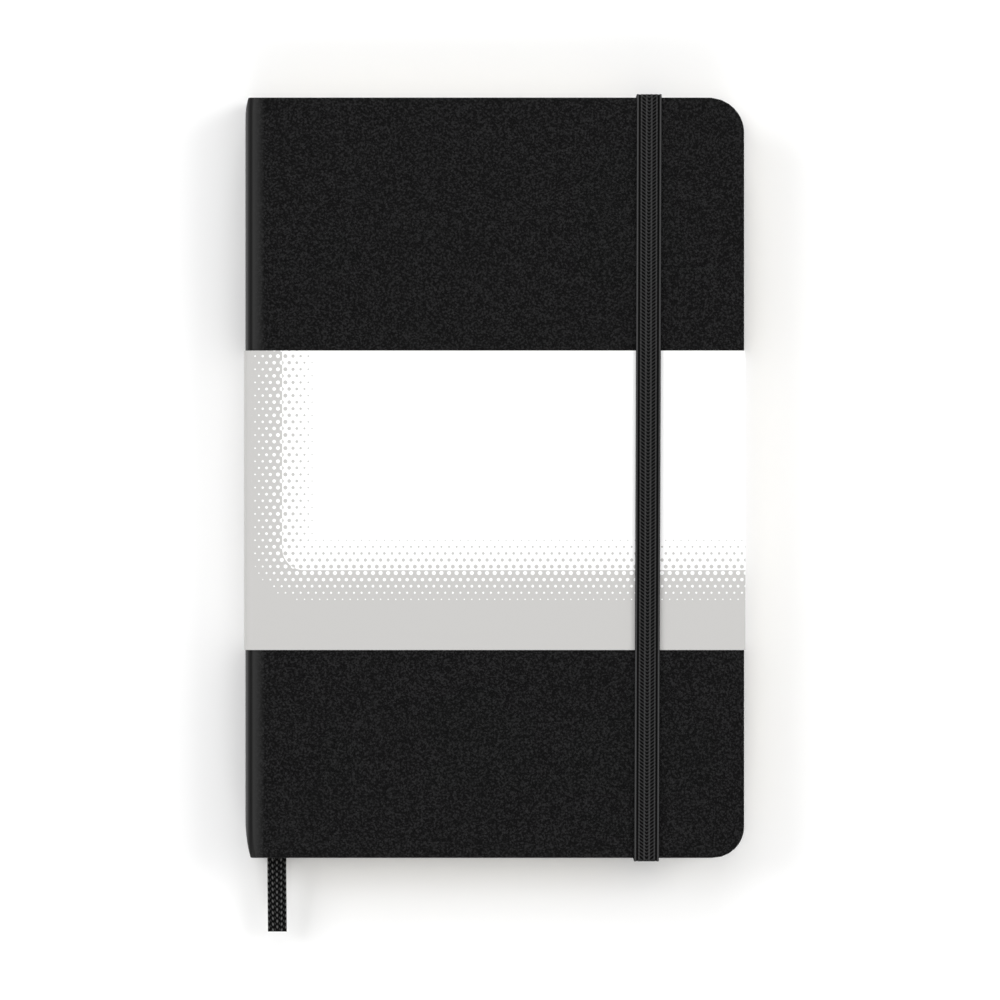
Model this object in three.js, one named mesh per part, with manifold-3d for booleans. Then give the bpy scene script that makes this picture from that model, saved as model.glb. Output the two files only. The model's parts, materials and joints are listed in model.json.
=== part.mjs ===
// Pocket notebook with a hard cover, an elastic closure, a ribbon bookmark and a paper band.
// Millimetres. X runs from the spine to the fore edge, Y from tail to head, Z up.
// It lies on its back cover, and the origin is the middle of its footprint.

import * as THREE from 'three';
import { mergeVertices } from 'three/addons/utils/BufferGeometryUtils.js';
import Module from 'manifold-3d';

const wasm = await Module();
wasm.setup();

// Outline of the closed book
const HALF_WIDTH = 46.15; // band fold to band fold
const COVER_HEIGHT = 140;
const HEAD_CORNER_R = 6.5;
const TAIL_CORNER_R = 5.8;
const PAGE_SQUARE = 2.1; // how far the cover stands past the pages
const PAGE_CORNER_R = 5.5;
const CORNER_STEPS = 6;

// Sheet thicknesses
const SHEET_GAP = 0.04;
const BAND_T = 0.18;
const SKIN_T = 0.4;
const BOARD_T = 0.9;
const ENDPAPER_T = 0.12;
const GUSSET_T = 0.3;
const POCKET_CARD_T = 0.18;
const SIGNATURE_T = 0.62;
const RIBBON_T = 0.22;
const ELASTIC_T = 0.7;
const SPINE_STRIP_T = 0.3;

// Case hinges and text block
const HINGE_TO_SKIN = 1.07; // hinge line to the outer face of the skin
const JOINT_GROOVE = 0.36; // hinge line to the board side of the groove
const SPINE_END_GAP = 0.2;
const PAGE_SPINE_GAP = 0.86; // hinge line to the folded edge of the pages
const SIGNATURES_PER_HALF = 6;

// Paper band
const BAND_HEIGHT = 55.1;
const BAND_CENTRE_Y = -4.15;
const BAND_FLAP = 30;

// Elastic closure
const ELASTIC_WIDTH = 4.6;
const ELASTIC_X = 28.2;
const ELASTIC_HALF_LENGTH = 70.7;
const ELASTIC_ARM_T = 0.62;
const ELASTIC_BACK_REACH = 9.6; // from its outer end to the slit
const SLIT_CLEARANCE = 0.3;

// Back pocket
const POCKET_INSET = 1.6;
const GUSSET_WIDTH = 5;
const POCKET_MOUTH_X = -36; // the side that stays open

// Ribbon bookmark, as points (y, height above the page gap)
const RIBBON_WIDTH = 3.5;
const RIBBON_X = -40.35;
const RIBBON_ROUTE = [
  [66.5, 0],
  [55, 0],
  [44, 0],
  [33, 0],
  [22, 0],
  [11, 0],
  [0, 0],
  [-11, 0],
  [-22, 0],
  [-33, 0],
  [-44, 0],
  [-55, 0],
  [-66, 0],
  [-70, -0.12],
  [-73, -0.4],
  [-76, -0.85],
  [-79, -1.45],
  [-82, -2.15],
  [-84.2, -2.75],
];

// Finishes
const LEATHER = { color: 0x1c1c1d, roughness: 0.5 };
const BOARD = { color: 0x8a8378, roughness: 0.9 };
const ENDPAPER = { color: 0xe9e3d0, roughness: 0.85 };
const PAGE_PAPER = { color: 0xece6d4, roughness: 0.85 };
const BAND_PAPER = { color: 0xfafafa, roughness: 0.55 };
const ELASTIC = { color: 0x242424, roughness: 0.8 };
const RIBBON = { color: 0x151515, roughness: 0.6 };
const POCKET_CARD = { color: 0xe6dfca, roughness: 0.85 };
const POCKET_CLOTH = { color: 0x1a1a1a, roughness: 0.9 };

const notebook = new THREE.Group();
notebook.name = 'pocket_notebook';

function add(name, geometry, finish) {
  const material = new THREE.MeshStandardMaterial({ ...finish, metalness: 0 });
  const mesh = new THREE.Mesh(geometry, material);
  mesh.name = name;
  notebook.add(mesh);
  return mesh;
}

// Layers, from the table up
let stackTop = 0;

function layer(thickness, gap = SHEET_GAP) {
  const bottom = stackTop;
  stackTop = bottom + thickness + gap;
  return { bottom, top: bottom + thickness };
}

const bandBack = layer(BAND_T);
const backSkin = layer(SKIN_T);
const backBoard = layer(BOARD_T);
const backPastedown = layer(ENDPAPER_T);
const gusset = layer(GUSSET_T);
const pocketFront = layer(POCKET_CARD_T);
const bandBackFlap = layer(BAND_T);
const backFlyleaf = layer(ENDPAPER_T);
const backSignatures = [];
for (let i = 0; i < SIGNATURES_PER_HALF; i += 1) {
  backSignatures.push(layer(SIGNATURE_T, i < SIGNATURES_PER_HALF - 1 ? SHEET_GAP : 1.5 * SHEET_GAP));
}
const ribbonLayer = layer(RIBBON_T, 1.5 * SHEET_GAP);
const frontSignatures = [];
for (let i = 0; i < SIGNATURES_PER_HALF; i += 1) {
  frontSignatures.push(layer(SIGNATURE_T));
}
const frontFlyleaf = layer(ENDPAPER_T, 1.5 * SHEET_GAP);
const bandFrontFlap = layer(BAND_T);
const frontPastedown = layer(ENDPAPER_T);
const frontBoard = layer(BOARD_T);
const frontSkin = layer(SKIN_T);
const bandFront = layer(BAND_T);
const elasticFront = layer(ELASTIC_T);

// Positions that follow from the sizes
const halfHeight = COVER_HEIGHT / 2;
const skinSpineX = -HALF_WIDTH + BAND_T + SHEET_GAP;
const hingeX = skinSpineX + HINGE_TO_SKIN;
const coverStartX = hingeX + JOINT_GROOVE;
const coverForeX = HALF_WIDTH - BAND_T - SHEET_GAP;
const pageStartX = hingeX + PAGE_SPINE_GAP;
const pageForeX = coverForeX - PAGE_SQUARE;
const pageHalfHeight = halfHeight - PAGE_SQUARE;
const backHingeZ = backSkin.bottom + HINGE_TO_SKIN;
const frontHingeZ = frontSkin.top - HINGE_TO_SKIN;

// A flat plate in plan, with the two corners at the fore edge rounded
function plateShape(x0, x1, y0, y1, headR, tailR) {
  const shape = new THREE.Shape();
  shape.moveTo(x0, y0);
  shape.lineTo(x1 - tailR, y0);
  shape.absarc(x1 - tailR, y0 + tailR, tailR, -Math.PI / 2, 0, false);
  shape.lineTo(x1, y1 - headR);
  shape.absarc(x1 - headR, y1 - headR, headR, 0, Math.PI / 2, false);
  shape.lineTo(x0, y1);
  shape.closePath();
  return shape;
}

function extrudeUp(shape, z0, z1) {
  const geometry = new THREE.ExtrudeGeometry(shape, {
    depth: z1 - z0,
    bevelEnabled: false,
    curveSegments: CORNER_STEPS,
  });
  geometry.translate(0, 0, z0);
  return geometry;
}

function box(x0, x1, y0, y1, z0, z1) {
  const geometry = new THREE.BoxGeometry(x1 - x0, y1 - y0, z1 - z0);
  geometry.translate((x0 + x1) / 2, (y0 + y1) / 2, (z0 + z1) / 2);
  return geometry;
}

function coverPlate(x0, inset, z0, z1) {
  const shape = plateShape(
    x0,
    coverForeX - inset,
    -halfHeight + inset,
    halfHeight - inset,
    HEAD_CORNER_R - inset,
    TAIL_CORNER_R - inset,
  );
  return extrudeUp(shape, z0, z1);
}

function pagePlate(layerOf) {
  const shape = plateShape(
    pageStartX,
    pageForeX,
    -pageHalfHeight,
    pageHalfHeight,
    PAGE_CORNER_R,
    PAGE_CORNER_R,
  );
  return extrudeUp(shape, layerOf.bottom, layerOf.top);
}

// A section drawn in X and Z, run along Y
function extrudeAlongY(points, y0, y1) {
  const shape = new THREE.Shape(points.map(([x, z]) => new THREE.Vector2(x, z)));
  const geometry = new THREE.ExtrudeGeometry(shape, { depth: y1 - y0, bevelEnabled: false });
  geometry.rotateX(Math.PI / 2);
  geometry.translate(0, y1, 0);
  return geometry;
}

// A section drawn in Y and Z, run along X
function extrudeAlongX(points, x0, x1) {
  const shape = new THREE.Shape(points.map(([y, z]) => new THREE.Vector2(y, z)));
  const geometry = new THREE.ExtrudeGeometry(shape, { depth: x1 - x0, bevelEnabled: false });
  const turn = new THREE.Matrix4().set(0, 0, 1, x0, 1, 0, 0, 0, 0, 1, 0, 0, 0, 0, 0, 1);
  geometry.applyMatrix4(turn);
  return geometry;
}

function toManifold(geometry) {
  const bare = geometry.clone();
  bare.deleteAttribute('normal');
  bare.deleteAttribute('uv');
  const merged = mergeVertices(bare, 1e-4);
  return new wasm.Manifold(new wasm.Mesh({
    numProp: 3,
    vertProperties: new Float32Array(merged.attributes.position.array),
    triVerts: new Uint32Array(merged.index.array),
  }));
}

function fromManifold(solid) {
  const mesh = solid.getMesh();
  const geometry = new THREE.BufferGeometry();
  geometry.setAttribute('position', new THREE.BufferAttribute(mesh.vertProperties, 3));
  geometry.setIndex(new THREE.BufferAttribute(mesh.triVerts, 1));
  geometry.computeVertexNormals();
  return geometry;
}

function cut(geometry, tools) {
  let solid = toManifold(geometry);
  for (const tool of tools) {
    solid = solid.subtract(toManifold(tool));
  }
  return fromManifold(solid);
}

// The cover material wraps over the board's head, tail and fore edges
function coverSkin(boardLayer, skinLayer, extraCuts = []) {
  const z0 = Math.min(boardLayer.bottom, skinLayer.bottom);
  const z1 = Math.max(boardLayer.top, skinLayer.top);
  const isFront = skinLayer.bottom > boardLayer.bottom;
  const cavityBottom = isFront ? z0 - 1 : skinLayer.top;
  const cavityTop = isFront ? skinLayer.bottom : z1 + 1;
  const cavity = coverPlate(coverStartX - 1, SKIN_T, cavityBottom, cavityTop);
  return cut(coverPlate(coverStartX, 0, z0, z1), [cavity, ...extraCuts]);
}

function coverBoard(boardLayer, slits = []) {
  const plate = coverPlate(coverStartX, SKIN_T + SHEET_GAP, boardLayer.bottom, boardLayer.top);
  return slits.length ? cut(plate, slits) : plate;
}

function pastedown(sheet) {
  return coverPlate(coverStartX, PAGE_SQUARE, sheet.bottom, sheet.top);
}

// Channels in the back cover for the two ends of the elastic
const slitHalfWidth = ELASTIC_WIDTH / 2 + SLIT_CLEARANCE;
const slitInnerY = ELASTIC_HALF_LENGTH - ELASTIC_BACK_REACH;

function elasticCut(side, outerY, z0, z1) {
  const ends = [side * (slitInnerY - SLIT_CLEARANCE), side * outerY];
  return box(
    ELASTIC_X - slitHalfWidth,
    ELASTIC_X + slitHalfWidth,
    Math.min(...ends),
    Math.max(...ends),
    z0,
    z1,
  );
}

const skinChannels = [1, -1].map((side) => (
  elasticCut(side, halfHeight + 1, backSkin.bottom - 1, backBoard.top + 1)
));
const boardSlits = [1, -1].map((side) => (
  elasticCut(side, slitInnerY + ELASTIC_ARM_T + SLIT_CLEARANCE, backBoard.bottom - 1, backBoard.top + 1)
));

// Case
add('back_cover_skin', coverSkin(backBoard, backSkin, skinChannels), LEATHER);
add('back_cover_board', coverBoard(backBoard, boardSlits), BOARD);
add('back_pastedown', pastedown(backPastedown), ENDPAPER);
add('front_cover_skin', coverSkin(frontBoard, frontSkin), LEATHER);
add('front_cover_board', coverBoard(frontBoard), BOARD);
add('front_pastedown', pastedown(frontPastedown), ENDPAPER);

const spineBottom = backHingeZ + SPINE_END_GAP;
const spineTop = frontHingeZ - SPINE_END_GAP;
const spineStripX = skinSpineX + SKIN_T + SHEET_GAP;
const spineSkin = box(skinSpineX, skinSpineX + SKIN_T, -halfHeight, halfHeight, spineBottom, spineTop);
add('spine_skin', spineSkin, LEATHER);
const stripHalfHeight = halfHeight - SKIN_T;
const spineStrip = box(
  spineStripX,
  spineStripX + SPINE_STRIP_T,
  -stripHalfHeight,
  stripHalfHeight,
  spineBottom,
  spineTop,
);
add('spine_strip', spineStrip, BOARD);

// Text block: signature_01 is the first, next to the front cover
add('back_flyleaf', pagePlate(backFlyleaf), ENDPAPER);
add('front_flyleaf', pagePlate(frontFlyleaf), ENDPAPER);
const fromFront = [...backSignatures, ...frontSignatures].reverse();
fromFront.forEach((sheetStack, index) => {
  const number = String(index + 1).padStart(2, '0');
  add(`signature_${number}`, pagePlate(sheetStack), PAGE_PAPER);
});

// Back pocket: a card panel over two cloth gussets on the back pastedown
const pocketHalfHeight = pageHalfHeight - POCKET_INSET;
const pocketForeX = pageForeX - POCKET_INSET;
const pocketPanel = plateShape(
  POCKET_MOUTH_X,
  pocketForeX,
  -pocketHalfHeight,
  pocketHalfHeight,
  PAGE_CORNER_R,
  PAGE_CORNER_R,
);
add('pocket_front_panel', extrudeUp(pocketPanel, pocketFront.bottom, pocketFront.top), POCKET_CARD);

function pocketGusset(side) {
  const edges = [side * pocketHalfHeight, side * (pocketHalfHeight - GUSSET_WIDTH)];
  const x1 = pocketForeX - PAGE_CORNER_R;
  return box(POCKET_MOUTH_X, x1, Math.min(...edges), Math.max(...edges), gusset.bottom, gusset.top);
}

add('pocket_head_gusset', pocketGusset(1), POCKET_CLOTH);
add('pocket_tail_gusset', pocketGusset(-1), POCKET_CLOTH);

// Paper band: a front wrap, a strip over the spine and a back wrap, with flaps inside the covers
const bandY0 = BAND_CENTRE_Y - BAND_HEIGHT / 2;
const bandY1 = BAND_CENTRE_Y + BAND_HEIGHT / 2;

function bandWrap(panel, flap, outerZ, innerZ) {
  const foldX = HALF_WIDTH - BAND_T;
  const points = [
    [coverStartX, outerZ],
    [HALF_WIDTH, outerZ],
    [HALF_WIDTH, innerZ],
    [HALF_WIDTH - BAND_FLAP, innerZ],
    [HALF_WIDTH - BAND_FLAP, innerZ === flap.top ? flap.bottom : flap.top],
    [foldX, innerZ === flap.top ? flap.bottom : flap.top],
    [foldX, outerZ === panel.top ? panel.bottom : panel.top],
    [coverStartX, outerZ === panel.top ? panel.bottom : panel.top],
  ];
  return extrudeAlongY(points, bandY0, bandY1);
}

add('band_front_wrap', bandWrap(bandFront, bandFrontFlap, bandFront.top, bandFrontFlap.bottom), BAND_PAPER);
add('band_back_wrap', bandWrap(bandBack, bandBackFlap, bandBack.bottom, bandBackFlap.top), BAND_PAPER);
add(
  'band_spine_strip',
  box(-HALF_WIDTH, -HALF_WIDTH + BAND_T, bandY0, bandY1, spineBottom, spineTop),
  BAND_PAPER,
);

// Elastic closure: the loop that comes off the cover, and its two ends held in the back cover
const elasticX0 = ELASTIC_X - ELASTIC_WIDTH / 2;
const elasticX1 = ELASTIC_X + ELASTIC_WIDTH / 2;
const backEndZ0 = 0.02;
const backEndZ1 = backEndZ0 + ELASTIC_ARM_T;
add(
  'elastic_front_run',
  box(elasticX0, elasticX1, -ELASTIC_HALF_LENGTH, ELASTIC_HALF_LENGTH, elasticFront.bottom, elasticFront.top),
  ELASTIC,
);

function elasticArm(side) {
  const edges = [side * (ELASTIC_HALF_LENGTH - ELASTIC_ARM_T), side * ELASTIC_HALF_LENGTH];
  const z0 = backEndZ1 + SHEET_GAP;
  const z1 = elasticFront.bottom - SHEET_GAP;
  return box(elasticX0, elasticX1, Math.min(...edges), Math.max(...edges), z0, z1);
}

function elasticBackEnd(side) {
  const tuckTop = backBoard.top;
  const section = [
    [slitInnerY, backEndZ0],
    [ELASTIC_HALF_LENGTH, backEndZ0],
    [ELASTIC_HALF_LENGTH, backEndZ1],
    [slitInnerY + ELASTIC_ARM_T, backEndZ1],
    [slitInnerY + ELASTIC_ARM_T, tuckTop],
    [slitInnerY, tuckTop],
  ];
  const placed = section.map(([y, z]) => [side * y, z]);
  if (side < 0) {
    placed.reverse();
  }
  return extrudeAlongX(placed, elasticX0, elasticX1);
}

for (const [end, side] of [['head', 1], ['tail', -1]]) {
  add(`elastic_${end}_arm`, elasticArm(side), ELASTIC);
  add(`elastic_${end}_back_end`, elasticBackEnd(side), ELASTIC);
}

// Ribbon bookmark: a flat strip through the middle opening, hanging out at the tail
const ribbonUpper = RIBBON_ROUTE.map(([y, dz]) => [y, ribbonLayer.top + dz]);
const ribbonLower = RIBBON_ROUTE.map(([y, dz]) => [y, ribbonLayer.bottom + dz]).reverse();
add(
  'ribbon_bookmark',
  extrudeAlongX([...ribbonUpper, ...ribbonLower], RIBBON_X - RIBBON_WIDTH / 2, RIBBON_X + RIBBON_WIDTH / 2),
  RIBBON,
);

export default notebook;
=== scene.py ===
"""Pocket notebook: the visual pieces, materials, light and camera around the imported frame."""

import json
import math
import random

import bmesh
import bpy
import numpy as np
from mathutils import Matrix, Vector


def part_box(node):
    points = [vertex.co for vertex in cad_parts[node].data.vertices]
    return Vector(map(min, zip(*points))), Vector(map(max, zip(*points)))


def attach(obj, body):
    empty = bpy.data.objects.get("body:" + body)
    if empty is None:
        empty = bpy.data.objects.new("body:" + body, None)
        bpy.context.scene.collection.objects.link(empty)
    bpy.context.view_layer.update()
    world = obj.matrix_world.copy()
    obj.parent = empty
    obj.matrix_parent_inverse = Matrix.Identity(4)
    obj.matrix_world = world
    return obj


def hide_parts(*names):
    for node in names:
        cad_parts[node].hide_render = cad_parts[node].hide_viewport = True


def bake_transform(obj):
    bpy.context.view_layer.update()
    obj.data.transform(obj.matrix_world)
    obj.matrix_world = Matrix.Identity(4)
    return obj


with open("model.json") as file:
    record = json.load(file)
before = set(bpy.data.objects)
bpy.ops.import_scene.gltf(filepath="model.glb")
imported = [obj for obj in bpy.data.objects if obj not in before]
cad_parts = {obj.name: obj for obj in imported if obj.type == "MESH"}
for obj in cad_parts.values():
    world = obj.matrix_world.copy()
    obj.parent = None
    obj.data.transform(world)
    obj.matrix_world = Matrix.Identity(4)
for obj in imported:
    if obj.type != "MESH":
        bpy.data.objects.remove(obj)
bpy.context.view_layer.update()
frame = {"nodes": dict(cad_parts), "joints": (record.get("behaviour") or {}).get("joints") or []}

MM = 0.001
joints = {j["name"]: j for j in frame["joints"]}
random.seed(7)


def lo(node):
    return [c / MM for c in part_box(node)[0]]


def hi(node):
    return [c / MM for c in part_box(node)[1]]


# ---------------------------------------------------------------- camera
VIEW_WIDTH = 184.07  # what the picture spans at the front cover, in mm
VIEW_CENTRE = (0.98, -4.095)
LENS = 200.0
SENSOR = 36.0

camera_data = bpy.data.cameras.new("camera")
camera_data.lens = LENS
camera_data.sensor_width = SENSOR
camera_data.clip_end = 20.0
camera = bpy.data.objects.new("camera", camera_data)
camera_height = VIEW_WIDTH * LENS / SENSOR + hi("front_cover_skin")[2]
camera.location = (VIEW_CENTRE[0] * MM, VIEW_CENTRE[1] * MM, camera_height * MM)
bpy.context.scene.collection.objects.link(camera)
bpy.context.scene.camera = camera

# ---------------------------------------------------------------- sizes, in mm
hinge_x = joints["spine_hinge"]["pos_m"][0] / MM
front_hinge_z = joints["front_cover_hinge"]["pos_m"][2] / MM
cover_fore_x = hi("front_cover_skin")[0]
board_start_x = lo("front_cover_board")[0]
cover_half = hi("front_cover_skin")[1]
cover_top = hi("front_cover_skin")[2]
cover_bottom = lo("back_cover_skin")[2]
middle_z = (cover_top + cover_bottom) / 2
spine_x = lo("spine_skin")[0]
skin_radius = hinge_x - spine_x
HEAD_R = 6.5
TAIL_R = 5.8
SKIN_T = 0.4
COVER_T = cover_top - lo("front_cover_skin")[2]
EDGE_ROUND = 0.34
INNER_ROUND = 0.12
WALL = 0.42
GROOVE_DEPTH = 0.32
GROOVE_WIDTH = 0.3
GROOVE_OFFSET = -0.06  # from the hinge axis
elastic_x = (lo("elastic_front_run")[0] + hi("elastic_front_run")[0]) / 2
CHANNEL_HALF = 2.5
CHANNEL_DEPTH = 0.36
channel_y = lo("elastic_head_back_end")[1] - 0.3


# ---------------------------------------------------------------- mesh helpers
SHARP_ANGLE = 38.0


def new_object(name, vertices, faces):
    """A mesh object that remembers where each of its points lies at rest."""
    mesh = bpy.data.meshes.new(name)
    mesh.from_pydata([tuple(v) for v in vertices], [], faces)
    mesh.update()
    bm = bmesh.new()
    bm.from_mesh(mesh)
    bmesh.ops.recalc_face_normals(bm, faces=bm.faces)
    bm.to_mesh(mesh)
    bm.free()
    obj = bpy.data.objects.new(name, mesh)
    bpy.context.scene.collection.objects.link(obj)
    mesh.polygons.foreach_set("use_smooth", [True] * len(mesh.polygons))
    mesh.set_sharp_from_angle(angle=math.radians(SHARP_ANGLE))
    rest = mesh.attributes.new("rest_mm", "FLOAT_VECTOR", "POINT")
    flat = [c / MM for v in mesh.vertices for c in v.co]
    rest.data.foreach_set("vector", flat)
    return obj


def slab(name, outer, inner):
    """A closed sheet between two grids of points, each (n, m, 3) in mm."""
    n, m = outer.shape[:2]
    points = np.concatenate([outer.reshape(-1, 3), inner.reshape(-1, 3)]) * MM
    top = np.arange(n * m).reshape(n, m)
    low = top + n * m
    faces = []
    for i in range(n - 1):
        for j in range(m - 1):
            faces.append((top[i, j], top[i + 1, j], top[i + 1, j + 1], top[i, j + 1]))
            faces.append((low[i, j], low[i, j + 1], low[i + 1, j + 1], low[i + 1, j]))
    rim = [(i, 0) for i in range(n)] + [(n - 1, j) for j in range(1, m)]
    rim += [(i, m - 1) for i in range(n - 2, -1, -1)] + [(0, j) for j in range(m - 2, 0, -1)]
    for (a, b), (c, d) in zip(rim, rim[1:] + rim[:1]):
        faces.append((top[a, b], low[a, b], low[c, d], top[c, d]))
    return new_object(name, points, [tuple(int(k) for k in f) for f in faces])


def prism(outline, z0, z1, offset=0):
    """Vertices and faces of a flat plate with this outline, numbered from offset."""
    n = len(outline)
    vertices = [(x * MM, y * MM, z0 * MM) for x, y in outline]
    vertices += [(x * MM, y * MM, z1 * MM) for x, y in outline]
    faces = [tuple(offset + i for i in reversed(range(n)))]
    faces.append(tuple(offset + n + i for i in range(n)))
    for i in range(n):
        j = (i + 1) % n
        faces.append((offset + i, offset + j, offset + n + j, offset + n + i))
    return vertices, faces


def arc(cx, cz, radius, start, end, steps):
    angles = [math.radians(start + (end - start) * k / steps) for k in range(steps + 1)]
    return [(cx + radius * math.cos(a), cz + radius * math.sin(a)) for a in angles]


def plate_outline(x0, x1, y0, y1, head_r, tail_r, steps=10):
    points = [(x0, y0)]
    points += arc(x1 - tail_r, y0 + tail_r, tail_r, -90, 0, steps)
    points += arc(x1 - head_r, y1 - head_r, head_r, 0, 90, steps)
    points.append((x0, y1))
    return points


# ---------------------------------------------------------------- materials
def material(name):
    mat = bpy.data.materials.new(name)
    mat.use_nodes = True
    tree = mat.node_tree
    shader = tree.nodes["Principled BSDF"]
    return mat, tree, shader


def node(tree, kind, inputs=(), **settings):
    made = tree.nodes.new(kind)
    for key, value in settings.items():
        setattr(made, key, value)
    for key, value in dict(inputs).items():
        if isinstance(value, bpy.types.NodeSocket):
            tree.links.new(value, made.inputs[key])
        else:
            made.inputs[key].default_value = value
    return made


def maths(tree, operation, a, b=0.0):
    return node(tree, "ShaderNodeMath", {0: a, 1: b}, operation=operation).outputs[0]


def length(tree, a, b):
    squares = maths(tree, "ADD", maths(tree, "POWER", a, 2.0), maths(tree, "POWER", b, 2.0))
    return maths(tree, "SQRT", squares)


def rest_position(tree):
    return node(tree, "ShaderNodeAttribute", attribute_name="rest_mm").outputs["Vector"]


def object_position(tree):
    coords = node(tree, "ShaderNodeTexCoord").outputs["Object"]
    return node(tree, "ShaderNodeVectorMath", {0: coords, "Scale": 1 / MM}, operation="SCALE").outputs[0]


def noise(tree, where, scale, detail=3.0):
    made = node(tree, "ShaderNodeTexNoise", {"Vector": where, "Scale": scale, "Detail": detail})
    return made.outputs["Fac"]


def ramp(tree, fac, dark, light, start=0.3, end=0.7):
    made = node(tree, "ShaderNodeValToRGB", {"Fac": fac})
    made.color_ramp.elements[0].position = start
    made.color_ramp.elements[1].position = end
    made.color_ramp.elements[0].color = (*dark, 1)
    made.color_ramp.elements[1].color = (*light, 1)
    return made.outputs["Color"]


def span(tree, fac, low, high):
    made = node(tree, "ShaderNodeMapRange", {"Value": fac, "To Min": low, "To Max": high})
    return made.outputs["Result"]


def bump(tree, shader, height, strength, distance_mm):
    made = node(tree, "ShaderNodeBump", {
        "Height": height,
        "Strength": strength,
        "Distance": distance_mm * MM,
    })
    tree.links.new(made.outputs["Normal"], shader.inputs["Normal"])


# The cover material: scales are per mm, and distances in x run from the hinge axis
PEBBLE_SCALE = 1.9
GRAIN_SCALE = 2.7
FINE_SCALE = 5.5
SMOOTH_START = 0.5
SMOOTH_END = 2.5
# The paler rim on the rounded spine edge, a painted highlight and partly corner wear: where it starts and
# ends, from the hinge axis
RIM_START = -0.45
RIM_END = -0.8
CORNER_BEFORE = 0.6  # how far before the corner's axis the smooth strip begins, up the spine
CORNER_PAST = 0.3
# Painted shade: the colour darkens in a narrow band along the crease at the hinge, standing in for the
# groove's shade
CREASE_WIDTH = 0.34
CREASE_SHADE = 0.72
GRAIN_BUMP = 0.07
GRAIN_DARK = (0.0008, 0.0008, 0.0009)
GRAIN_LIGHT = (0.0165, 0.0165, 0.017)
# Colour of the painted shade in the crease at the hinge
PAINTED_CREASE_SHADE = (0.002, 0.002, 0.002)
WORN = (0.03, 0.03, 0.03)
# Colour of the rim on the rounded spine edge: a painted highlight, partly corner wear
RIM_HIGHLIGHT_AND_WEAR = (0.085, 0.085, 0.086)


def fade(tree, value, start, end):
    """0 at start and before it, 1 at end and past it."""
    limits = {"Value": value, "From Min": start, "From Max": end}
    return node(tree, "ShaderNodeMapRange", limits).outputs["Result"]


def blend_colour(tree, share, first, second):
    """The first colour at a share of 0 and the second at 1."""
    colours = {"Factor": share, "A": first, "B": second}
    return node(tree, "ShaderNodeMix", colours, data_type="RGBA").outputs["Result"]


def leather_material():
    """Black cover material: a fine grain, smooth and paler along the two corners of the spine, with a
    painted highlight, partly corner wear, on the rounded spine edge and painted shade in the crease at
    the hinge.
    """
    mat, tree, shader = material("cover_leather")
    where = rest_position(tree)
    warp = noise(tree, where, 0.9, 2.0)
    shifted = node(tree, "ShaderNodeVectorMath", {0: where, 1: warp}, operation="ADD").outputs[0]
    cells = node(
        tree,
        "ShaderNodeTexVoronoi",
        {"Vector": shifted, "Scale": PEBBLE_SCALE, "Randomness": 1.0},
        feature="DISTANCE_TO_EDGE",
    ).outputs["Distance"]
    pebble = maths(tree, "MINIMUM", maths(tree, "MULTIPLY", cells, 3.2), 1.0)
    grain = noise(tree, where, GRAIN_SCALE, 1.5)
    fine = noise(tree, where, FINE_SCALE, 3.0)
    x, _, z = node(tree, "ShaderNodeSeparateXYZ", {0: where}).outputs

    from_middle = maths(tree, "ABSOLUTE", maths(tree, "SUBTRACT", z, middle_z))
    corner = front_hinge_z - middle_z
    near_corner = fade(tree, from_middle, corner - CORNER_BEFORE, corner + CORNER_PAST)
    beside_spine = fade(tree, x, hinge_x + SMOOTH_END, hinge_x + SMOOTH_START)
    smooth = maths(tree, "MULTIPLY", beside_spine, near_corner)
    # The rim along the rounded spine edge: a painted highlight, partly corner wear
    rim = maths(tree, "MULTIPLY", fade(tree, x, hinge_x + RIM_START, hinge_x + RIM_END), near_corner)
    # Painted shade: darkens the colour in the crease along the hinge, on the covers' faces near the
    # spine's corners
    off_crease = maths(tree, "DIVIDE", maths(tree, "SUBTRACT", x, hinge_x + GROOVE_OFFSET), CREASE_WIDTH)
    square = maths(tree, "MULTIPLY", off_crease, off_crease)
    crease = maths(tree, "EXPONENT", maths(tree, "MULTIPLY", square, -1.0))
    painted_crease_shade = maths(tree, "MULTIPLY", maths(tree, "MULTIPLY", crease, near_corner), CREASE_SHADE)

    spots = maths(tree, "ADD", maths(tree, "MULTIPLY", grain, 0.8), maths(tree, "MULTIPLY", pebble, 0.12))
    colour = ramp(tree, spots, GRAIN_DARK, GRAIN_LIGHT, 0.40, 0.60)
    # Laid over the grain in turn: the smooth worn strip, the rim (painted highlight and corner wear),
    # then the painted crease shade
    for share, over in ((smooth, WORN), (rim, RIM_HIGHLIGHT_AND_WEAR), (painted_crease_shade, PAINTED_CREASE_SHADE)):
        colour = blend_colour(tree, share, colour, (*over, 1))
    tree.links.new(colour, shader.inputs["Base Color"])
    tree.links.new(span(tree, fine, 0.42, 0.6), shader.inputs["Roughness"])
    shader.inputs["Specular IOR Level"].default_value = 0.08
    height = maths(tree, "ADD", pebble, maths(tree, "ADD", grain, maths(tree, "MULTIPLY", fine, 0.5)))
    calm = maths(tree, "SUBTRACT", 1.0, maths(tree, "MULTIPLY", smooth, 0.8))
    bump(tree, shader, maths(tree, "MULTIPLY", height, calm), 1.0, GRAIN_BUMP)
    return mat


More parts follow.
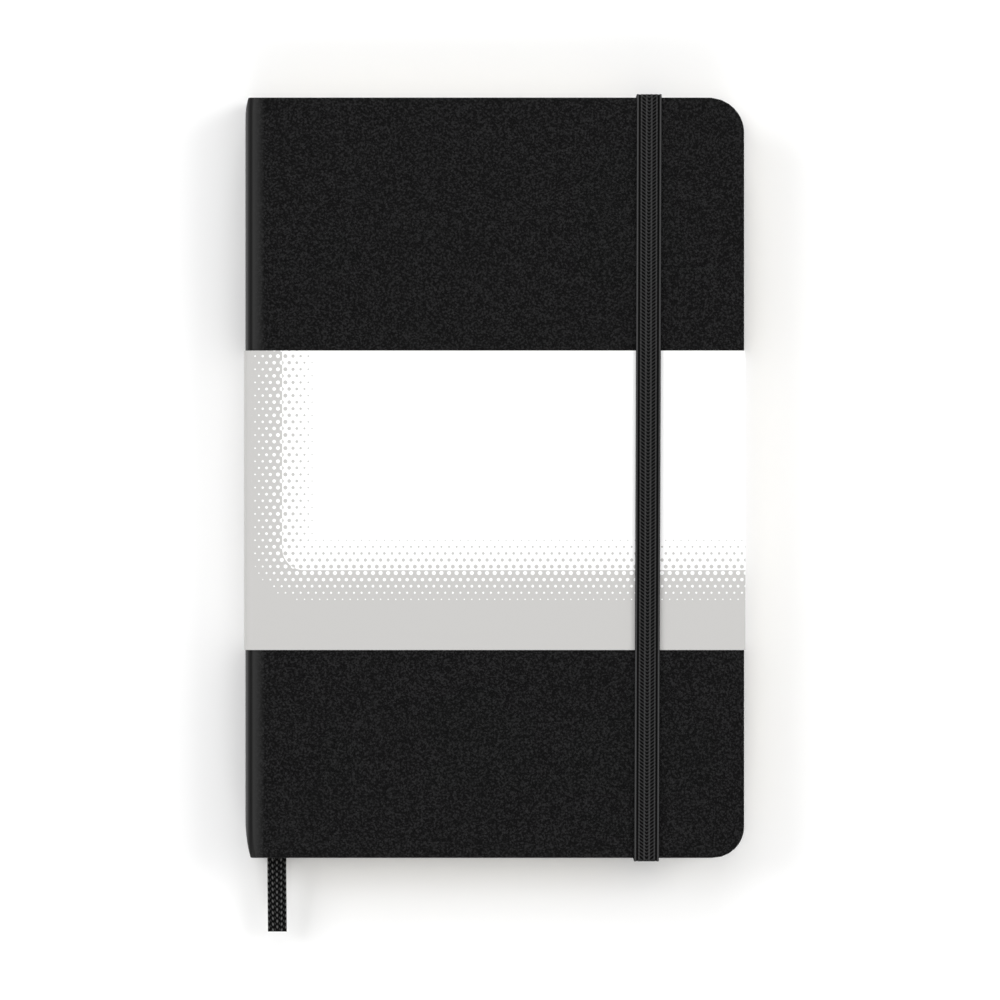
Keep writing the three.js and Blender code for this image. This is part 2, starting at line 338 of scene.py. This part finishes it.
def paper_material(name, dark, light):
    mat, tree, shader = material(name)
    where = object_position(tree)
    fibre = noise(tree, where, 2.2, 6.0)
    cloud = noise(tree, where, 0.03, 2.0)
    mixed = maths(tree, "MULTIPLY", maths(tree, "ADD", fibre, cloud), 0.5)
    tree.links.new(ramp(tree, mixed, dark, light), shader.inputs["Base Color"])
    tree.links.new(span(tree, fibre, 0.78, 0.95), shader.inputs["Roughness"])
    shader.inputs["Specular IOR Level"].default_value = 0.25
    bump(tree, shader, fibre, 0.2, 0.02)
    return mat


BAND_GREY = (0.53, 0.523, 0.512, 1)
BAND_WHITE = (0.95, 0.95, 0.95, 1)
PRINT_X = -39.1  # where the grey edge of the print meets the white field
PRINT_Y = -17.0
PRINT_CORNER = 4.0
DOT_PITCH_X = 1.40
DOT_PITCH_Y = 1.21
DOT_LARGE = 0.40
DOT_SMALL = 0.12
FADE = 5.6


def band_material():
    """White paper with a grey border that fades into the white through two fields of dots."""
    mat, tree, shader = material("band_paper")
    where = rest_position(tree)
    x, y, _ = node(tree, "ShaderNodeSeparateXYZ", {0: where}).outputs
    from_x = maths(tree, "SUBTRACT", x, PRINT_X)
    from_y = maths(tree, "SUBTRACT", y, PRINT_Y)
    corner_x = maths(tree, "MAXIMUM", maths(tree, "SUBTRACT", PRINT_CORNER, from_x), 0.0)
    corner_y = maths(tree, "MAXIMUM", maths(tree, "SUBTRACT", PRINT_CORNER, from_y), 0.0)
    from_corner = length(tree, corner_x, corner_y)
    past_corner = maths(tree, "SUBTRACT", maths(tree, "MINIMUM", from_x, from_y), PRINT_CORNER)
    deep = maths(tree, "MAXIMUM", past_corner, 0.0)
    inside = maths(tree, "ADD", maths(tree, "SUBTRACT", PRINT_CORNER, from_corner), deep)
    row = maths(tree, "FLOOR", maths(tree, "DIVIDE", y, DOT_PITCH_Y))
    stagger = maths(tree, "MULTIPLY", maths(tree, "FLOORED_MODULO", row, 2.0), 0.5)
    across = maths(tree, "FRACT", maths(tree, "ADD", maths(tree, "DIVIDE", x, DOT_PITCH_X), stagger))
    along = maths(tree, "FRACT", maths(tree, "DIVIDE", y, DOT_PITCH_Y))
    dx = maths(tree, "MULTIPLY", maths(tree, "SUBTRACT", across, 0.5), DOT_PITCH_X)
    dy = maths(tree, "MULTIPLY", maths(tree, "SUBTRACT", along, 0.5), DOT_PITCH_Y)
    dot_distance = length(tree, dx, dy)
    depth = maths(tree, "ABSOLUTE", inside)
    shrink = maths(tree, "MULTIPLY", depth, (DOT_LARGE - DOT_SMALL) / FADE)
    radius = maths(tree, "SUBTRACT", DOT_LARGE, shrink)
    in_fade = maths(tree, "LESS_THAN", depth, FADE)
    dot = maths(tree, "MULTIPLY", maths(tree, "LESS_THAN", dot_distance, radius), in_fade)
    white_side = maths(tree, "GREATER_THAN", inside, 0.0)
    white = maths(tree, "ABSOLUTE", maths(tree, "SUBTRACT", white_side, dot))
    tree.links.new(blend_colour(tree, white, BAND_GREY, BAND_WHITE), shader.inputs["Base Color"])
    fibre = noise(tree, where, 1.8, 5.0)
    tree.links.new(span(tree, fibre, 0.5, 0.7), shader.inputs["Roughness"])
    shader.inputs["Specular IOR Level"].default_value = 0.3
    bump(tree, shader, fibre, 0.1, 0.02)
    return mat


def woven_material(name, dark, light):
    """The colour follows how high each thread stands: painted shade between the threads and a painted
    highlight on the raised ones.
    """
    mat, tree, shader = material(name)
    lift = node(tree, "ShaderNodeAttribute", attribute_name="thread").outputs["Fac"]
    strands = noise(tree, rest_position(tree), 7.0, 2.0)
    mixed = maths(tree, "MULTIPLY", lift, span(tree, strands, 0.6, 1.3))
    # Painted light: darker where a thread lies low, lighter where it stands high
    tree.links.new(ramp(tree, mixed, dark, light, 0.15, 0.85), shader.inputs["Base Color"])
    tree.links.new(span(tree, strands, 0.65, 0.85), shader.inputs["Roughness"])
    shader.inputs["Sheen Weight"].default_value = 0.02
    shader.inputs["Sheen Roughness"].default_value = 0.4
    shader.inputs["Specular IOR Level"].default_value = 0.05
    bump(tree, shader, strands, 0.35, 0.03)
    return mat


LEATHER = leather_material()
PAGES = paper_material("page_paper", (0.70, 0.64, 0.50), (0.75, 0.69, 0.55))
ENDPAPER = paper_material("endpaper", (0.72, 0.67, 0.54), (0.80, 0.75, 0.62))
CARD = paper_material("pocket_card", (0.66, 0.60, 0.46), (0.74, 0.69, 0.55))
BOARD = paper_material("case_board", (0.20, 0.18, 0.15), (0.30, 0.27, 0.23))
BAND = band_material()
# Elastic and ribbon: their colours run from painted shade between the threads to a painted highlight on
# them
ELASTIC = woven_material("elastic_weave", (0.0006, 0.0006, 0.0006), (0.062, 0.062, 0.063))
RIBBON = woven_material("ribbon_weave", (0.0004, 0.0004, 0.0004), (0.13, 0.13, 0.13))
CLOTH = paper_material("book_cloth", (0.008, 0.008, 0.009), (0.02, 0.02, 0.021))


def finish_piece(obj, mat, slot_name, *replaced):
    obj.data.materials.clear()
    obj.data.materials.append(mat)
    if replaced:
        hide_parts(*replaced)


def dress(node_name, mat):
    obj = frame["nodes"][node_name]
    if not obj.material_slots:
        obj.data.materials.append(mat)
    for held in obj.material_slots:
        held.material = mat


# ---------------------------------------------------------------- covers
# How far inside the edge each row and column of points lies, close together where it is rounded
EDGE_STEPS = [0.0, 0.03, 0.08, 0.16, 0.26, 0.36, 0.42, 0.46, 0.7, 1.1, 1.8, 2.8, 4.2, 6.0]
EDGE_ZONE = EDGE_STEPS[-1]
ROW_STEP = 3.0
COLUMN_STEP = 3.3
CHANNEL_WALL = 0.12
SPINE_END_ROUND = 0.15
TAIL_PULL = 0.95  # how far the spine draws in at its tail end, and over what length
TAIL_PULL_LENGTH = 7.0
HEAD_PULL = 0.55
HEAD_PULL_LENGTH = 3.7
PULL_END = hinge_x + 1.66
PULL_FADE = 2.4


def inset(x, y):
    """How far a point lies inside the cover's outline."""
    radius = HEAD_R if y > 0 else TAIL_R
    to_fore = cover_fore_x - x
    to_end = cover_half - abs(y)
    if to_fore < radius and to_end < radius:
        return radius - math.hypot(radius - to_fore, radius - to_end)
    return min(to_fore, to_end)


def reach(x, side):
    """Half the cover's height at x, towards the head (1) or the tail (-1)."""
    radius = HEAD_R if side > 0 else TAIL_R
    past = x - (cover_fore_x - radius)
    if past <= 0:
        return cover_half
    return cover_half - radius + math.sqrt(max(radius * radius - past * past, 0.0))


def rounded(distance, radius):
    if distance >= radius:
        return 0.0
    return radius - math.sqrt(max(radius * radius - (radius - distance) ** 2, 0.0))


def spine_pull(y):
    """The spine draws in a little at its two ends."""
    tail = max(0.0, 1 - (cover_half + y) / TAIL_PULL_LENGTH)
    head = max(0.0, 1 - (cover_half - y) / HEAD_PULL_LENGTH)
    return TAIL_PULL * tail ** 2 + HEAD_PULL * head ** 2


def cover_section():
    """(x, z, normal x, normal z) from the middle of the spine over the groove to the fore edge."""
    section = []
    for k in range(12):
        section.append((spine_x, middle_z + (front_hinge_z - middle_z) * k / 12, -1.0, 0.0))
    for x, z in arc(hinge_x, front_hinge_z, skin_radius, 180, 90, 12):
        section.append((x, z, (x - hinge_x) / skin_radius, (z - front_hinge_z) / skin_radius))
    xs = [hinge_x + 0.1 * k for k in range(1, 16)]
    xs += [hinge_x + 1.5 + COLUMN_STEP * k for k in range(1, 21)]
    for side in (-1, 1):
        xs += [elastic_x + side * CHANNEL_HALF, elastic_x + side * (CHANNEL_HALF + CHANNEL_WALL)]
    xs += [elastic_x + 1.8 + ROW_STEP * k for k in range(3)]
    xs += [cover_fore_x - d for d in reversed(EDGE_STEPS)]
    xs = sorted(set(round(x, 4) for x in xs))
    section += [(x, cover_top, 0.0, 1.0) for x in xs]
    return section


def cover_rows():
    """The heights of the rows of points, from the tail to the head."""
    rows = [cover_half - d for d in EDGE_STEPS]
    rows += [cover_half - EDGE_ZONE - ROW_STEP * k for k in range(1, 22)]
    rows += [channel_y, channel_y + CHANNEL_WALL]
    heights = sorted(set(round(r, 4) for r in rows if r > 0.5))
    return [-h for h in reversed(heights)] + [0.0] + heights


def row_height(x, row):
    """Where a row lies at x: it follows the rounded corners near the head and the tail."""
    if not row:
        return 0.0
    side = 1 if row > 0 else -1
    limit = reach(x, side)
    if limit < cover_half and abs(row) < cover_half - EDGE_ZONE:
        return row * limit / cover_half
    return side * max(limit - (cover_half - abs(row)), 0.0)


def cover_leather(name, upward, cad_node):
    """One cover's skin and half of the spine's, made facing up and mirrored for the back."""
    section = cover_section()
    rows = cover_rows()
    outer = np.zeros((len(section), len(rows), 3))
    inner = np.zeros_like(outer)
    for i, (x, z, nx, nz) in enumerate(section):
        groove_at = hinge_x + GROOVE_OFFSET
        along = abs(x - groove_at) + max(0.0, cover_top - z)
        groove = GROOVE_DEPTH * math.exp(-((along / GROOVE_WIDTH) ** 2))
        for j, row in enumerate(rows):
            y = row_height(x, row)
            on_board = x > board_start_x and nz > 0.99
            edge = inset(x, y) if on_board else min(cover_half - abs(y), 5.0)
            in_channel = (
                not upward
                and abs(x - elastic_x) <= CHANNEL_HALF
                and abs(y) >= channel_y
                and nz > 0.99
            )
            sink = rounded(edge, EDGE_ROUND if on_board else SPINE_END_ROUND) + groove
            sink += CHANNEL_DEPTH if in_channel else 0.0
            thick = COVER_T if on_board and edge < WALL + 0.02 else SKIN_T
            depth = thick + groove * 0.6 if groove > 0.01 else thick - rounded(edge, INNER_ROUND)
            pull = spine_pull(y) * min(max((PULL_END - x) / PULL_FADE, 0.0), 1.0)
            outer[i, j] = (x - nx * sink + pull, y, z - nz * sink)
            inner[i, j] = (x - nx * depth + pull, y, z - nz * depth)
    if not upward:
        for grid in (outer, inner):
            grid[:, :, 2] = 2 * middle_z - grid[:, :, 2]
    obj = slab(name, outer, inner)
    finish_piece(obj, LEATHER, "cover_skin", cad_node)
    return obj


front_leather = cover_leather("front_cover_leather", True, "front_cover_skin")
back_leather = cover_leather("back_cover_leather", False, "back_cover_skin")
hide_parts("spine_skin")


TURN_IN_FROM = 0.1  # from the cover's edge
TURN_IN_TO = 2.06
TURN_IN_GAP = 0.01
TURN_IN_T = 0.09


def inner_outline(margin):
    """The cover's outline, drawn in by a margin on its three free sides."""
    end = cover_half - margin
    fore = cover_fore_x - margin
    return plate_outline(board_start_x, fore, -end, end, HEAD_R - margin, TAIL_R - margin)


def turn_in(name, z0, z1, body):
    """The cover material folded over the board's edge, around the pastedown."""
    outside = inner_outline(TURN_IN_FROM)
    inside = inner_outline(TURN_IN_TO)
    loop = outside + list(reversed(inside))
    n = len(outside)
    vertices, faces = prism(loop, z0, z1)
    total = len(loop)
    strips = []
    for i in range(n - 1):
        a, b, c, d = i, i + 1, total - 2 - i, total - 1 - i
        strips.append((a, b, c, d))
        strips.append((a + total, b + total, c + total, d + total))
    obj = new_object(name, vertices, faces[2:] + strips)
    finish_piece(obj, LEATHER, "cover_skin")
    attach(obj, body)


front_inner = lo("front_cover_board")[2]
back_inner = hi("back_cover_board")[2]
front_turn_top = front_inner - TURN_IN_GAP
back_turn_low = back_inner + TURN_IN_GAP
turn_in("front_turn_in", front_turn_top - TURN_IN_T, front_turn_top, "front_cover")
turn_in("back_turn_in", back_turn_low, back_turn_low + TURN_IN_T, "root")


def spine_liner():
    """The card inside the spine, drawn in at its ends with the skin."""
    x0, y0, z0 = lo("spine_strip")
    x1, y1, z1 = hi("spine_strip")
    ys = np.linspace(y0, y1, 61)
    zs = np.linspace(z0, z1, 9)
    outer = np.array([[(x0 + spine_pull(y) + 0.02, y, z) for y in ys] for z in zs])
    inner = outer + np.array([x1 - x0 - 0.04, 0, 0])
    obj = slab("spine_card", outer, inner)
    finish_piece(obj, BOARD, "case_board", "spine_strip")
    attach(obj, "spine")


spine_liner()

# ---------------------------------------------------------------- pages
LEAVES = 8
LEAF_GAP = 0.012
LEAF_R = 5.5
FOLD_MIN = 0.03
FOLD_DEPTH = 0.3
GUSSET_FOLDS = 6
CLOTH_T = 0.1


def section_leaves(number):
    """One signature: its leaves lie on each other and close to a round fold at the spine."""
    name = f"signature_{number:02d}"
    x0, y0, z0 = lo(name)
    x1, y1, z1 = hi(name)
    pitch = (z1 - z0) / LEAVES
    vertices, faces = [], []
    for leaf in range(LEAVES):
        off_centre = abs(leaf - (LEAVES - 1) / 2) / (LEAVES / 2)
        fold = FOLD_MIN + FOLD_DEPTH * off_centre ** 3
        fore = x1 - random.uniform(0.0, 0.09)
        head = y1 - random.uniform(0.0, 0.06)
        tail = y0 + random.uniform(0.0, 0.06)
        outline = plate_outline(x0 + fold, fore, tail, head, LEAF_R, LEAF_R)
        base = z0 + leaf * pitch + LEAF_GAP / 2
        more, sides = prism(outline, base, base + pitch - LEAF_GAP, len(vertices))
        vertices += more
        faces += sides
    obj = new_object(f"pages_{number:02d}", vertices, faces)
    finish_piece(obj, PAGES, "page_paper", name)
    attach(obj, f"section_{number:02d}" if number <= 6 else "root")


for section_number in range(1, 13):
    section_leaves(section_number)

for paper_node in ("front_flyleaf", "back_flyleaf", "front_pastedown", "back_pastedown"):
    dress(paper_node, ENDPAPER)
for board_node in ("front_cover_board", "back_cover_board"):
    dress(board_node, BOARD)
dress("pocket_front_panel", CARD)


def pleated_gusset(node_name):
    """A cloth gusset, pleated under the pocket's card."""
    x0, y0, z0 = lo(node_name)
    x1, y1, z1 = hi(node_name)
    ys = np.linspace(y0, y1, GUSSET_FOLDS * 4 + 1)
    xs = np.linspace(x0, x1, 40)
    room = z1 - z0 - CLOTH_T
    outer = np.zeros((len(xs), len(ys), 3))
    for i, x in enumerate(xs):
        for j, y in enumerate(ys):
            wave = 0.5 + 0.5 * math.cos(math.pi * GUSSET_FOLDS * (y - y0) / (y1 - y0))
            outer[i, j] = (x, y, z0 + CLOTH_T + room * wave)
    inner = outer - np.array([0, 0, CLOTH_T])
    obj = slab(node_name.replace("pocket", "cloth"), outer, inner)
    finish_piece(obj, CLOTH, "pocket_cloth", node_name)
    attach(obj, "root")


pleated_gusset("pocket_head_gusset")
pleated_gusset("pocket_tail_gusset")

# ---------------------------------------------------------------- paper band
PAPER_T = 0.15
BAND_FLAP = 30.0
BAND_FOLD_R = 0.3
band_y0 = lo("band_front_wrap")[1]
band_y1 = hi("band_front_wrap")[1]
band_fore = hi("band_front_wrap")[0]
band_flap_x = band_fore - BAND_FLAP
band_spine = lo("band_spine_strip")[0]


def path_normals(points):
    points = np.array(points, float)
    tangent = np.gradient(points, axis=0)
    tangent /= np.linalg.norm(tangent, axis=1)[:, None]
    return np.stack([-tangent[:, 1], tangent[:, 0]], axis=1)


def band_sheet(name, top, flap_z, upward, replaced):
    """One half of the band, from mid-spine over the cover, round the fore edge and back inside."""
    radius = hinge_x - band_spine
    points = [(band_spine, middle_z + (front_hinge_z - middle_z) * k / 8) for k in range(8)]
    points += arc(hinge_x, front_hinge_z, radius, 180, 90, 12)
    corner_z = front_hinge_z + radius
    points += [(hinge_x + 0.15 * k, corner_z + (top - corner_z) * min(k / 6, 1)) for k in range(1, 10)]
    points += [(x, top) for x in np.linspace(hinge_x + 3, band_fore - 1.0, 40)]
    fold = BAND_FOLD_R
    points += arc(band_fore - fold, top - fold, fold, 90, 0, 6)
    points += arc(band_fore - fold, flap_z + fold, fold, 0, -90, 6)
    points += [(x, flap_z) for x in np.linspace(band_fore - 1.2, band_flap_x, 14)]
    normals = path_normals(points)
    ys = np.linspace(band_y0, band_y1, 30)
    outer = np.array([[(x, y, z) for y in ys] for x, z in points])
    inner = np.array([
        [(x - nx * PAPER_T, y, z - nz * PAPER_T) for y in ys]
        for (x, z), (nx, nz) in zip(points, normals)
    ])
    if not upward:
        for grid in (outer, inner):
            grid[:, :, 2] = 2 * middle_z - grid[:, :, 2]
    obj = slab(name, outer, inner)
    finish_piece(obj, BAND, "band_paper", *replaced)
    return obj


front_band = band_sheet(
    "band_front_sheet",
    hi("band_front_wrap")[2] - 0.01,
    lo("band_front_wrap")[2] + 0.01,
    True,
    ["band_front_wrap", "band_spine_strip"],
)
back_band = band_sheet(
    "band_back_sheet",
    2 * middle_z - lo("band_back_wrap")[2],
    2 * middle_z - hi("band_back_wrap")[2],
    False,
    ["band_back_wrap"],
)

# ---------------------------------------------------------------- elastic and ribbon
THREAD_PITCH = 0.64
CORD_AT = 2.09  # the elastic's lines, from its middle
INNER_LINE_AT = 1.41
RIDGE_AT = 0.46
RIBBON_COLUMN = 0.8
RIBBON_STITCH = 1.12


def smooth_bump(offset, half):
    return math.cos(min(abs(offset) / half, 1.0) * math.pi / 2)


def elastic_weave(u, s):
    """Height of the weave from 0 to 1, u across and s along, in mm."""
    out = abs(u)
    stitch = 0.5 + 0.5 * math.cos(2 * math.pi * (s / THREAD_PITCH + out * 1.1))
    if out > 1.84:
        return 0.95 * smooth_bump(out - CORD_AT, 0.22)
    if out > 1.2:
        return (0.5 + 0.3 * stitch) * smooth_bump(out - INNER_LINE_AT, 0.22)
    ridge = (0.5 + 0.3 * stitch) * smooth_bump(out - RIDGE_AT, 0.26)
    return max(ridge, 0.6 * stitch ** 2)


def ribbon_weave(u, s):
    """Columns of slanting stitches, each half a stitch on from the next."""
    column = round(u / RIBBON_COLUMN)
    local = u - column * RIBBON_COLUMN
    lean = local * (0.5 if u > 0 else -0.5)
    phase = s / RIBBON_STITCH + 0.5 * (column % 2) + lean
    stitch = (0.5 + 0.5 * math.cos(2 * math.pi * phase)) ** 1.5
    between = (0.5 + 0.5 * math.cos(2 * math.pi * (phase + 0.4))) ** 1.5
    main = (0.12 + 0.8 * stitch) * smooth_bump(local, 0.25)
    side = 0.5 * between * smooth_bump(abs(local) - RIBBON_COLUMN / 2, 0.16)
    return max(main, side)


def resample(points, step):
    points = np.array(points, float)
    lengths = np.concatenate([[0], np.cumsum(np.linalg.norm(np.diff(points, axis=0), axis=1))])
    count = max(int(lengths[-1] / step), 2)
    at = np.linspace(0, lengths[-1], count + 1)
    return np.stack([np.interp(at, lengths, points[:, k]) for k in range(points.shape[1])], axis=1), at


def strap(name, path, across, half_width, thickness, weave, relief, centre_of, step):
    """A woven strip along a path in Y and Z, woven on both faces."""
    line, along = resample(path, step)
    normals = path_normals(line)
    us = np.linspace(-half_width, half_width, across)
    outer = np.zeros((len(line), across, 3))
    inner = np.zeros_like(outer)
    heights = np.zeros((len(line), across))
    for i, ((y, z), normal) in enumerate(zip(line, normals)):
        centre = centre_of(y)
        for j, u in enumerate(us):
            lift = weave(u, along[i])
            heights[i, j] = lift
            body = thickness / 2 - relief + relief * lift
            outer[i, j] = (centre + u, y + normal[0] * body, z + normal[1] * body)
            inner[i, j] = (centre + u, y - normal[0] * body, z - normal[1] * body)
    obj = slab(name, outer, inner)
    attribute = obj.data.attributes.new("thread", "FLOAT", "POINT")
    flat = heights.reshape(-1)
    attribute.data.foreach_set("value", np.concatenate([flat, flat]).astype(np.float32))
    return obj


ELASTIC_THICK = 0.58
ELASTIC_RELIEF = 0.1
ELASTIC_ACROSS = 39
ELASTIC_SIDE_GAP = 0.02
ELASTIC_BEND = 0.75
ELASTIC_EASE = 3.0
ELASTIC_TUCK_Z = 1.35
ELASTIC_LEAN = 0.25
RIBBON_HALF = 1.75
RIBBON_THICK = 0.2
RIBBON_RELIEF = 0.06
RIBBON_ACROSS = 37
RIBBON_STEP = 0.17
RIBBON_INSET = 0.11
elastic_end = hi("elastic_head_arm")[1]
elastic_low = lo("elastic_head_back_end")[2]
slit_y = lo("elastic_head_back_end")[1]


def elastic_path():
    """From the slit at the head, over the head edge, down the front and back to the tail's slit."""
    half = ELASTIC_THICK / 2
    low = elastic_low + half
    end = elastic_end - half - 0.02
    over_band = lo("elastic_front_run")[2] + half + 0.02
    on_cover = cover_top + half + 0.05
    bend = ELASTIC_BEND
    points = [(slit_y + half, ELASTIC_TUCK_Z), (slit_y + half, low + bend)]
    points += arc(slit_y + half + bend, low + bend, bend, 180, 270, 6)
    points += arc(end - bend, low + bend, bend, -90, 0, 8)
    points += arc(end - bend, on_cover - bend, bend, 0, 90, 8)
    for y in np.linspace(end - bend - 1, -(end - bend - 1), 90):
        beyond = max(y - band_y1, band_y0 - y)
        share = min(max(1 - beyond / ELASTIC_EASE, 0.0), 1.0)
        share = share * share * (3 - 2 * share)
        points.append((y, on_cover + (over_band - on_cover) * share))
    points += arc(-(end - bend), on_cover - bend, bend, 90, 180, 8)
    points += arc(-(end - bend), low + bend, bend, 180, 270, 8)
    points += arc(-(slit_y + half + bend), low + bend, bend, 270, 360, 6)
    points += [(-(slit_y + half), ELASTIC_TUCK_Z)]
    return points


elastic_width = hi("elastic_front_run")[0] - lo("elastic_front_run")[0]
elastic = strap(
    "elastic_closure",
    elastic_path(),
    ELASTIC_ACROSS,
    elastic_width / 2 - ELASTIC_SIDE_GAP,
    ELASTIC_THICK,
    elastic_weave,
    ELASTIC_RELIEF,
    lambda y: elastic_x + ELASTIC_LEAN * y / cover_half,
    THREAD_PITCH / 5,
)
finish_piece(
    elastic,
    ELASTIC,
    "elastic",
    "elastic_front_run",
    "elastic_head_arm",
    "elastic_tail_arm",
    "elastic_head_back_end",
    "elastic_tail_back_end",
)

# The same route as the part's ribbon: (y, drop) in mm
RIBBON_ROUTE = [
    (66.5, 0), (55, 0), (44, 0), (33, 0), (22, 0), (11, 0), (0, 0), (-11, 0), (-22, 0), (-33, 0),
    (-44, 0), (-55, 0), (-66, 0), (-70, -0.12), (-73, -0.4), (-76, -0.85), (-79, -1.45),
    (-82, -2.15), (-84.2, -2.75),
]
ribbon_x = (lo("ribbon_bookmark")[0] + hi("ribbon_bookmark")[0]) / 2
ribbon_z = hi("ribbon_bookmark")[2] - RIBBON_INSET
ribbon_points = [(y, ribbon_z + drop) for y, drop in RIBBON_ROUTE]
ribbon = strap(
    "bookmark_ribbon",
    ribbon_points,
    RIBBON_ACROSS,
    RIBBON_HALF,
    RIBBON_THICK,
    ribbon_weave,
    RIBBON_RELIEF,
    lambda y: ribbon_x,
    RIBBON_STEP,
)
finish_piece(ribbon, RIBBON, "ribbon", "ribbon_bookmark")
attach(ribbon, "root")

# ---------------------------------------------------------------- pieces that span a joint, their transforms baked into the mesh
for bent in (front_leather, front_band):
    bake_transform(bent)
for bent in (back_leather, back_band):
    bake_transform(bent)
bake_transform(elastic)

# ---------------------------------------------------------------- floor, light
floor_mat, _, floor_shader = material("floor")
floor_shader.inputs["Base Color"].default_value = (0.97, 0.97, 0.97, 1)
floor_shader.inputs["Roughness"].default_value = 0.9
floor_shader.inputs["Specular IOR Level"].default_value = 0.1
FLOOR_HALF = 6.0  # metres
FLOOR_GAP = 0.0002
floor_corners = [(sx * FLOOR_HALF, sy * FLOOR_HALF, 0) for sx, sy in ((-1, -1), (1, -1), (1, 1), (-1, 1))]
floor_mesh = bpy.data.meshes.new("floor")
floor_mesh.from_pydata(floor_corners, [], [(0, 1, 2, 3)])
floor = bpy.data.objects.new("floor", floor_mesh)
floor.location = (0, 0, -FLOOR_GAP)
floor_mesh.materials.append(floor_mat)
bpy.context.scene.collection.objects.link(floor)

world = bpy.data.worlds.new("studio")
bpy.context.scene.world = world
world.use_nodes = True
world.node_tree.nodes["Background"].inputs["Color"].default_value = (1, 1, 1, 1)
world.node_tree.nodes["Background"].inputs["Strength"].default_value = 0.5
bpy.context.scene.view_settings.view_transform = "Standard"


def softbox(name, place, power, size):
    data = bpy.data.lights.new(name, "AREA")
    data.energy = power
    data.size = size
    obj = bpy.data.objects.new(name, data)
    obj.location = place
    aim = -obj.location
    obj.rotation_mode = "QUATERNION"
    obj.rotation_quaternion = aim.to_track_quat("-Z", "Y")
    bpy.context.scene.collection.objects.link(obj)


softbox("light_left", (-1.3, 0.5, 1.15), 11.2, 0.9)
softbox("light_right", (1.3, 0.4, 1.15), 9.8, 0.9)
softbox("light_head", (0.0, 1.5, 1.1), 8.0, 0.9)
softbox("light_tail", (0.1, -1.4, 1.1), 9.2, 0.9)
